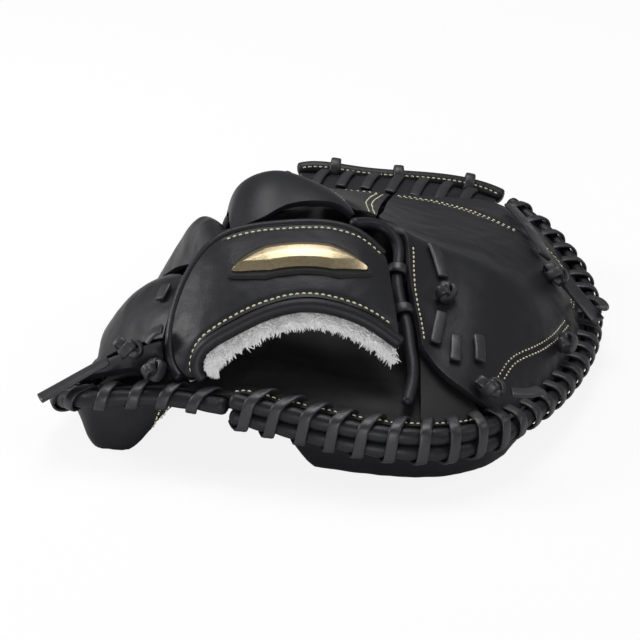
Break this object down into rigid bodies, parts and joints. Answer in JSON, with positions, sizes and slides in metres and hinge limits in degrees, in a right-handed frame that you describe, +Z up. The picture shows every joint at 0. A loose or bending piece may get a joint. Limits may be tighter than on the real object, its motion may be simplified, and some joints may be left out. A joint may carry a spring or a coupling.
{
  "type": "baseball catchers mitt",
  "caption": "Padded black leather catcher's mitt for the left hand, laced rolled rim, hooded index finger, fleece-lined wrist strap, web, lying on its palm.",
  "frame": {"origin": "on the floor, under the middle of the mitt as it lies on its palm", "axes": "+X to the thumb side, +Y from the wrist to the web, +Z up through the back of the hand"},
  "size_m": [0.2846, 0.284, 0.1041],
  "materials": {
    "black_leather": "soft satin grain, blue-black",
    "lining_leather": "smooth matte glove leather",
    "rawhide_lace": "waxed satin lace",
    "wool_felt": "pressed wool felt",
    "wool_fleece": "short white pile",
    "badge_felt": "black felt",
    "badge_metal": "polished pale gold"
  },
  "bodies": {
    "thumb_side": {"palm_leather_thumb": "black_leather", "palm_felt_thumb": "wool_felt", "palm_lining_thumb": "lining_leather", "rim_roll_thumb": "black_leather", "heel_roll": "black_leather", "web_crown": "black_leather", "rim_laces_thumb": "rawhide_lace", "wrist_strap": "black_leather", "strap_binding": "black_leather", "strap_roll": "black_leather", "strap_fleece": "wool_fleece", "badge_felt": "badge_felt", "badge_plate": "badge_metal", "thumb_binding": "black_leather", "thumb_back_panel": "black_leather", "heel_side_panel": "black_leather", "web_back": "black_leather", "web_face": "black_leather", "web_laces": "rawhide_lace", "crown_loops": "rawhide_lace", "strap_laces": "rawhide_lace", "thumb_loop": "lining_leather", "thumb_bow_knot": "rawhide_lace", "side_knot": "rawhide_lace", "heel_knot": "rawhide_lace", "thumb_rim_knot": "rawhide_lace", "thumb_bow_ends": "rawhide_lace", "thumb_cross_laces": "rawhide_lace", "side_lace": "rawhide_lace", "side_lace_end": "rawhide_lace", "side_loop": "rawhide_lace", "heel_knot_end": "rawhide_lace"},
    "finger_side": {"palm_leather_fingers": "black_leather", "palm_felt_fingers": "wool_felt", "palm_lining_fingers": "lining_leather", "rim_roll_fingers": "black_leather", "rim_laces_fingers": "rawhide_lace", "finger_binding": "black_leather", "index_hood": "black_leather", "index_back_panel": "black_leather", "index_stall": "black_leather", "middle_stall": "black_leather", "ring_stall": "black_leather", "little_stall": "black_leather", "little_finger_loop": "lining_leather", "finger_tie_knot": "rawhide_lace", "little_rim_knot": "rawhide_lace", "finger_lace_tail": "rawhide_lace", "finger_tie_end": "rawhide_lace", "ring_slit_lace": "rawhide_lace"}
  },
  "joints": [
    {"name": "palm_fold", "type": "hinge", "parent": "thumb_side", "child": "finger_side", "pos_m": [-0.0508, -0.1163, 0.024], "axis": [-0.3626, -0.9287, -0.0777], "range_deg": [0, 30]}
  ]
}
